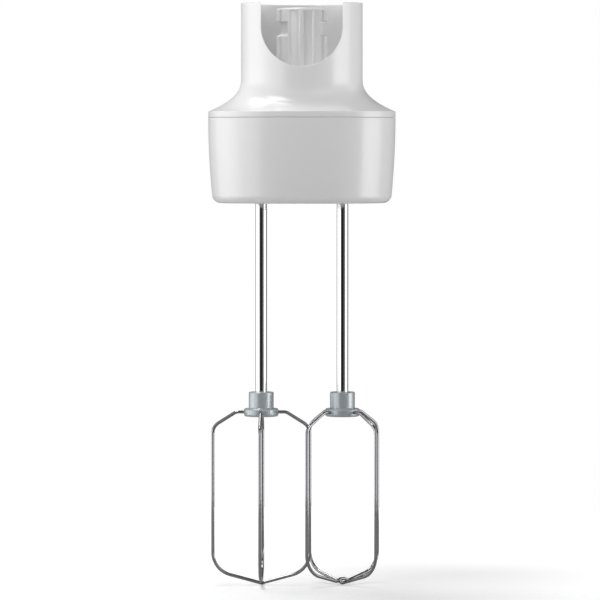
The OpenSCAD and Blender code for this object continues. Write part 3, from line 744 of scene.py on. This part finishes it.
def makeTower(material):
    low, top = (corner.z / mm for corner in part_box("coupling_tower"))
    # rows stand closer together where the cap and the two ends of the latch groove bend
    rows = [top - 1.0 - 0.12 * k for k in range(7)] + [31.5, 30.2, 29.5]
    rows += [29.3 - 0.1 * k for k in range(9)] + [27.5, 26.0, 24.6] + [24.0 - 0.15 * k for k in range(17)]
    rows += [20.5, 18.0, 15.0, 12.0, 9.0, 7.2, tower["spigotTop"] + 0.35]
    outline = [(tower["bore"], tower["boreFloor"], 0), (tower["bore"], top, tower["rim"]),
               (tower["radius"], top, tower["rim"])]
    outline += [(tower["radius"], z, 0) for z in rows]
    flangeTop = -tower["floorThickness"]
    flangeLow = flangeTop - tower["flangeThickness"]
    footTop = low + tower["footHeight"]
    outline += [(tower["radius"], tower["spigotTop"], 0), (tower["spigotRadius"], tower["spigotTop"], 0.5),
                (tower["spigotRadius"], 0, 0.2), (tower["neckRadius"], 0, 0),
                (tower["neckRadius"], flangeTop, 0), (tower["flangeRadius"], flangeTop, 0),
                (tower["flangeRadius"], flangeLow, 0),
                (tower["pipeRadius"], flangeLow, 0), (tower["pipeRadius"], footTop, 0),
                (tower["footRadius"], footTop, 0.4), (tower["footRadius"], low, 0.2),
                (tower["shaftHole"], low, 0), (tower["shaftHole"], tower["shaftHoleTop"], 0),
                (tower["socketHole"], tower["shaftHoleTop"], 0), (tower["socketHole"], tower["boreFloor"], 0)]
    bm = spunMesh(outline, tower["columns"], closed=True, fillets=5)
    for vert in bm.verts:
        z = vert.co.z / mm
        fluted = tower["spigotTop"] + 0.2 < z < top - tower["rim"] - 0.05
        if fluted and vert.co.xy.length > (tower["radius"] - 0.05) * mm:
            phi = phiAt(vert)
            vert.co = polar(towerRadius(phi, z, top), phi, z)
    return finishPiece("couplingTower", bm, material, "housing", ["coupling_tower"], sharp=50)


beater = {
    "shaftRadius": 2.8,
    "grooveDepth": 0.4,
    "ringHalf": 0.6,
    "shoulder": 0.15,
    "tipTaper": 1.0,
    "tipInset": 0.9,
    "hubRadius": 6.0,
    "hubSleeve": 7.9,
    "flangeRadius": 8.3,
    "hubGrip": 0.05,
    "wire": 1.6,
    "wireRoot": 4.2,
    "kneeBend": 4.0,
    "topOut": 12.0,
    "topFall": 32,
    "topBend": 6.0,
    "loopRadius": 23.27,
    "lowFall": 15,
    "lowBend": 11.0,
    "tipBend": 2.4,
    "archHalf": 1.9,
    "archGap": 0.45,
    "turn": {"left": -1.1, "right": -47.4},
    "sides": 20,
    "bendSteps": 10,
}


def makeShaft(side, material):
    lowest, highest = (corner.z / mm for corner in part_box(side + "_beater_shaft"))
    ring = sum(corner.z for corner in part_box(side + "_detent_ring")) / 2 / mm
    radius = beater["shaftRadius"]
    neck = radius - beater["grooveDepth"]
    under, over, fillet = ring - beater["ringHalf"], ring + beater["ringHalf"], beater["shoulder"]
    outline = [(0, lowest, 0), (radius, lowest, 0.2), (radius, under, fillet), (neck, under, 0),
               (neck, over, 0), (radius, over, fillet), (radius, highest - beater["tipTaper"], 0.3),
               (radius - beater["tipInset"], highest, 0.25), (0, highest, 0)]
    bm = moved(spunMesh(outline, 96), Vector((shaftX[side], 0, 0)) * mm)
    return finishPiece(side + "Shaft", bm, material, bodyOf[side], [side + "_beater_shaft"])


def makeHub(side, material):
    lowest, highest = (corner.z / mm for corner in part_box(side + "_beater_hub"))
    step = highest - beater["hubSleeve"]
    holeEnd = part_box(side + "_beater_shaft")[0].z / mm - 0.2
    radius = beater["shaftRadius"] - beater["hubGrip"]
    outline = [(0, lowest, 0), (beater["flangeRadius"], lowest, 1.0), (beater["flangeRadius"], step, 0.8),
               (beater["hubRadius"], step, 0.5), (beater["hubRadius"], highest, 0.5),
               (radius, highest, 0.1), (radius, holeEnd, 0), (0, holeEnd, 0)]
    bm = moved(spunMesh(outline, 96), Vector((shaftX[side], 0, 0)) * mm)
    return finishPiece(side + "Hub", bm, material, bodyOf[side], [side + "_beater_hub"])


def bentPath(corners):
    # (across, up, bend) corners; every bend becomes an arc, and each point keeps its direction of travel
    points = []
    for i, (across, up, bend) in enumerate(corners):
        here = Vector((across, up))
        if i in (0, len(corners) - 1):
            other = Vector(corners[1 if i == 0 else -2][:2])
            way = (other - here if i == 0 else here - other).normalized()
            points.append((here, way))
            continue
        came = (here - Vector(corners[i - 1][:2])).normalized()
        goes = (Vector(corners[i + 1][:2]) - here).normalized()
        sweep = came.angle_signed(goes)
        reach = bend * math.tan(abs(sweep) / 2)
        start = here - came * reach
        sideways = Vector((-came.y, came.x)) * (-1 if sweep > 0 else 1)
        centre = start + sideways * bend
        for k in range(beater["bendSteps"] + 1):
            turn = Matrix.Rotation(-sweep * k / beater["bendSteps"], 2)
            points.append((centre + turn @ (start - centre), turn @ came))
    return points


def makeLoop(side, name, arched, material):
    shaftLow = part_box(side + "_beater_shaft")[0].z / mm
    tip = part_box(side + "_beater_plain_loop")[0].z / mm + beater["wire"] / 2
    reach, wire, arch = beater["loopRadius"], beater["wire"], beater["archHalf"]
    fall = math.tan(math.radians(beater["lowFall"]))
    kneeFall = (reach - beater["topOut"]) * math.tan(math.radians(beater["topFall"]))
    half = [(beater["wireRoot"], shaftLow, 0), (beater["topOut"], shaftLow, beater["kneeBend"]),
            (reach, shaftLow - kneeFall, beater["topBend"]), (reach, tip + reach * fall, beater["lowBend"])]
    middle = [(0, tip, beater["tipBend"])]
    if arched:
        half += [(2 * arch, tip + 2 * arch * fall, wire * 0.75),
                 (arch * 0.75, tip + wire + beater["archGap"], wire * 0.75)]
        middle = []
    corners = half + middle + [(-x, z, bend) for x, z, bend in reversed(half)]
    path = bentPath(corners)
    turn = Matrix.Rotation(math.radians(beater["turn"][side] + (90 if arched else 0)), 3, "Z")
    offset = Vector((shaftX[side], 0, 0))
    bm = bmesh.new()
    ring = bmesh.ops.create_circle(bm, cap_ends=False, segments=beater["sides"], radius=mm)["verts"]
    angleOf = {vert: i * wholeTurn / beater["sides"] for i, vert in enumerate(ring)}
    sideways = Vector((0, 1, 0))

    def place(vert, point, way):
        outward = Vector((way.y, 0, -way.x))
        across = outward * math.cos(angleOf[vert]) + sideways * math.sin(angleOf[vert])
        vert.co = (turn @ (Vector((point.x, 0, point.y)) + across * (wire / 2)) + offset) * mm

    for vert in ring:
        place(vert, *path[0])
    row = bm.edges[:]
    ends = [row]
    for point, way in path[1:]:
        cameFrom, row = extrudeEdges(bm, row)
        for vert, parent in cameFrom.items():
            angleOf[vert] = angleOf[parent]
            place(vert, point, way)
    ends.append(row)
    for end in ends:
        bmesh.ops.contextual_create(bm, geom=end)
    bmesh.ops.recalc_face_normals(bm, faces=bm.faces[:])
    node = side + ("_beater_arched_loop" if arched else "_beater_plain_loop")
    return finishPiece(side + name, bm, material, bodyOf[side], [node])


seals = {
    "outer": 7.45,
    "inner": 5.5,
    "lipWidth": 0.6,
    "lipStep": 0.5,
    "wallInset": 0.2,
    "rise": 0.35,
    "height": 3.0,
}


def makeSeals(material):
    # soft lips round the shafts, set into the outlets in the floor
    outer, inner = seals["outer"], seals["inner"]
    lowest, highest = bottomZ + seals["rise"], bottomZ + seals["height"]
    bm = bmesh.new()
    for x in shaftX.values():
        seal = spunMesh([(inner, lowest + seals["lipStep"], 0.2), (inner + seals["lipWidth"], lowest, 0.25),
                         (outer, lowest, 0.3), (outer, highest, 0.2),
                         (inner + seals["wallInset"], highest, 0.2)], 72, closed=True)
        addMesh(bm, moved(seal, Vector((x, 0, 0)) * mm))
    return finishPiece("outletSeals", bm, material, "housing", ["outlet_seals"])


makeUpperShell(finishes["whiteGloss"])
makeLowerShell(finishes["whiteGloss"])
# the tower takes the lit copy of the white, with painted light in its colour
makeTower(finishes["towerWhitePaintedLight"])
print("housing ready")
for side in bodyOf:
    makeShaft(side, finishes["polishedRod"])
    makeHub(side, finishes["greyBlue"])
    # the loops take the shaded copy of the polished steel, with painted shade in its colour
    makeLoop(side, "PlainLoop", False, finishes["polishedWirePaintedShade"])
    makeLoop(side, "ArchedLoop", True, finishes["polishedWirePaintedShade"])
makeSeals(finishes["sealRubber"])
print("beaters ready")

# the inner parts keep their own shapes and take a finish each
finishOf = {
    "tower_screws": "zincScrew", "gearbox_base": "frameGrey", "gearbox_top_plate": "frameGrey",
    "gearbox_screws": "zincScrew", "input_bush_upper": "bronze", "input_bush_lower": "bronze",
    "input_shaft": "turnedSteel", "drive_coupler": "nylonBlack", "coupler_pin": "turnedSteel",
    "input_pinion": "cutBrass", "input_circlip": "stampedSteel", "idler_pin": "turnedSteel",
    "idler_pinion": "acetal", "idler_wheel": "acetal", "idler_washers": "stampedSteel",
    "spindle_bushes_upper": "bronze", "spindle_bushes_lower": "bronze",
}
sideFinishOf = {
    "_spindle": "turnedSteel", "_gear": "acetal", "_gear_key": "turnedSteel", "_detent_ring": "stampedSteel",
    "_thrust_washer": "stampedSteel", "_beater_drive_fins": "stampedSteel",
}
for side in bodyOf:
    finishOf.update({side + ending: finishName for ending, finishName in sideFinishOf.items()})
for nodeName, finishName in finishOf.items():
    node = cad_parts[nodeName]
    node.data.materials.clear()
    node.data.materials.append(finishes[finishName])
print("inner parts finished:", len(finishOf))


# floor, studio light and camera

studio = {
    "floorRadius": 0.45,
    "floorDrop": 0.0002,
    "floorColours": ((0.88, 0.88, 0.88, 1.0), (0.90, 0.90, 0.90, 1.0)),
    "floorBounce": (0.5, 0.5, 0.5, 1.0),    # the floor as the object sees it
    "floorGlow": 0.27,
    "floorFade": (0.24, 0.38, 0.3),     # the glow rises between these two radii, by this much
    "cameraAt": (-0.00088, -2.057, -0.0316),
    "aimZ": -0.1041,
    "fieldOfView": 8.0,
    "cameraReach": 50,
}


def makeFloor():
    material, tree, shader = newMaterial("paleFloor")
    place = tree.nodes.new("ShaderNodeTexCoord").outputs["Object"]
    mottle = addNoise(tree, place, 6.0, 3.0)
    seen = tree.nodes.new("ShaderNodeLightPath").outputs["Is Camera Ray"]
    pale = mixColours(tree, mottle, *studio["floorColours"])
    tree.links.new(mixColours(tree, seen, studio["floorBounce"], pale), shader.inputs["Base Color"])
    shader.inputs["Roughness"].default_value = 0.8
    shader.inputs["Specular IOR Level"].default_value = 0.1
    shader.inputs["Emission Color"].default_value = (1, 1, 1, 1)
    reach = tree.nodes.new("ShaderNodeVectorMath")
    reach.operation = "LENGTH"
    tree.links.new(place, reach.inputs[0])
    fade = tree.nodes.new("ShaderNodeMapRange")   # the floor fades into the white room
    fade.interpolation_type = "SMOOTHSTEP"
    nearest, farthest, rise = studio["floorFade"]
    fade.inputs["From Min"].default_value = nearest
    fade.inputs["From Max"].default_value = farthest
    fade.inputs["To Min"].default_value = studio["floorGlow"]
    fade.inputs["To Max"].default_value = studio["floorGlow"] + rise
    tree.links.new(reach.outputs["Value"], fade.inputs["Value"])
    glow = addMath(tree, "MULTIPLY", seen, fade.outputs["Result"])
    tree.links.new(glow, shader.inputs["Emission Strength"])
    bm = bmesh.new()
    bmesh.ops.create_circle(bm, cap_ends=True, segments=96, radius=studio["floorRadius"])
    lowest = min(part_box(side + "_beater_plain_loop")[0].z for side in bodyOf)
    moved(bm, Vector((0, 0, lowest - studio["floorDrop"])))
    floor = meshObject("floor", bm)
    floor.data.materials.append(material)


# soft boxes as (place, aim, size, power): one high on the left, one behind that lays the shadow forwards
softBoxes = {
    "keyLight": ((-0.42, -0.3, 1.15), (0.02, 0.0, -0.2), 0.45, 4.8),
    "backLight": ((-0.24, 0.32, 0.95), (0.02, -0.02, -0.2), 0.45, 5.5),
}

# brightness of the room in zones round the object, at three heights
# zone edges are degrees from the front, rising towards the right; the first and last zones meet behind
sky = {
    "zoneEdges": (-124, -102, -68, -34, -10, 14, 38, 62, 82, 102, 124),
    "horizon": (0.3, 1.5, 2.45, 1.75, 0.06, 0.01, 0.08, 0.37, 3.9, 2.6, 0.28, 0.23),
    "middle": (0.15, 0.2, 0.46, 0.93, 0.8, 0.34, 1.08, 0.92, 0.35, 0.87, 1.03, 0.17),
    "high": (0.1, 0.1, 0.1, 0.1, 0.05, 0.05, 0.05, 0.05, 0.05, 0.05, 0.1, 0.1),
    "zoneSoftness": 3,
    "middleFrom": 12,
    "highFrom": 45,
    "heightSoftness": 4,
}


def makeSky():
    world = bpy.data.worlds.new("studio")
    world.use_nodes = True
    bpy.context.scene.world = world
    tree = world.node_tree
    room = tree.nodes["Background"]
    way = tree.nodes.new("ShaderNodeSeparateXYZ")
    tree.links.new(tree.nodes.new("ShaderNodeTexCoord").outputs["Generated"], way.inputs[0])
    azimuth = addMath(tree, "ARCTAN2", way.outputs[0], addMath(tree, "MULTIPLY", way.outputs[1], -1.0))
    share = addMath(tree, "MULTIPLY_ADD", azimuth, 1 / wholeTurn, 0.5)
    height = addMath(tree, "DEGREES", addMath(tree, "ARCSINE", way.outputs[2]))

    def aroundAt(label):
        ramp = tree.nodes.new("ShaderNodeValToRGB").color_ramp
        ramp.interpolation = "LINEAR"
        stops = []
        for i, value in enumerate(sky[label]):
            if i:
                stops.append((sky["zoneEdges"][i - 1] + sky["zoneSoftness"], value))
            if i < len(sky["zoneEdges"]):
                stops.append((sky["zoneEdges"][i] - sky["zoneSoftness"], value))
        while len(ramp.elements) < len(stops):
            ramp.elements.new(0.5)
        for element, (angle, value) in zip(ramp.elements, stops):
            element.position = angle / 360 + 0.5
            element.color = (value, value, value, 1.0)
        node = tree.nodes[-1]
        tree.links.new(share, node.inputs[0])
        return node.outputs[0]

    def rising(level):
        node = tree.nodes.new("ShaderNodeMapRange")
        node.interpolation_type = "SMOOTHSTEP"
        node.inputs["From Min"].default_value = level - sky["heightSoftness"]
        node.inputs["From Max"].default_value = level + sky["heightSoftness"]
        tree.links.new(height, node.inputs["Value"])
        return node.outputs["Result"]

    lower = mixColours(tree, rising(sky["middleFrom"]), aroundAt("horizon"), aroundAt("middle"))
    whole = mixColours(tree, rising(sky["highFrom"]), lower, aroundAt("high"))
    seen = tree.nodes.new("ShaderNodeLightPath").outputs["Is Camera Ray"]
    tree.links.new(mixColours(tree, seen, whole, (1.0, 1.0, 1.0, 1.0)), room.inputs["Color"])


def makeSoftBox(name, place, aim, size, power):
    light = bpy.data.lights.new(name, "AREA")
    light.shape = "SQUARE"
    light.size = size
    light.energy = power
    holder = bpy.data.objects.new(name, light)
    holder.location = place
    holder.rotation_euler = (Vector(aim) - holder.location).to_track_quat("-Z", "Y").to_euler()
    bpy.context.scene.collection.objects.link(holder)


def makeCamera():
    camera = bpy.data.objects.new("camera", bpy.data.cameras.new("camera"))
    camera.data.lens_unit = "FOV"
    camera.data.angle = math.radians(studio["fieldOfView"])
    camera.data.clip_end = studio["cameraReach"]
    camera.location = studio["cameraAt"]
    drop = math.atan2(studio["cameraAt"][2] - studio["aimZ"], -studio["cameraAt"][1])
    camera.rotation_euler = (math.pi / 2 - drop, 0, 0)
    bpy.context.scene.collection.objects.link(camera)
    bpy.context.scene.camera = camera


makeFloor()
makeSky()
for name, values in softBoxes.items():
    makeSoftBox(name, *values)
makeCamera()
bpy.context.scene.view_settings.view_transform = "Standard"
print("studio ready")
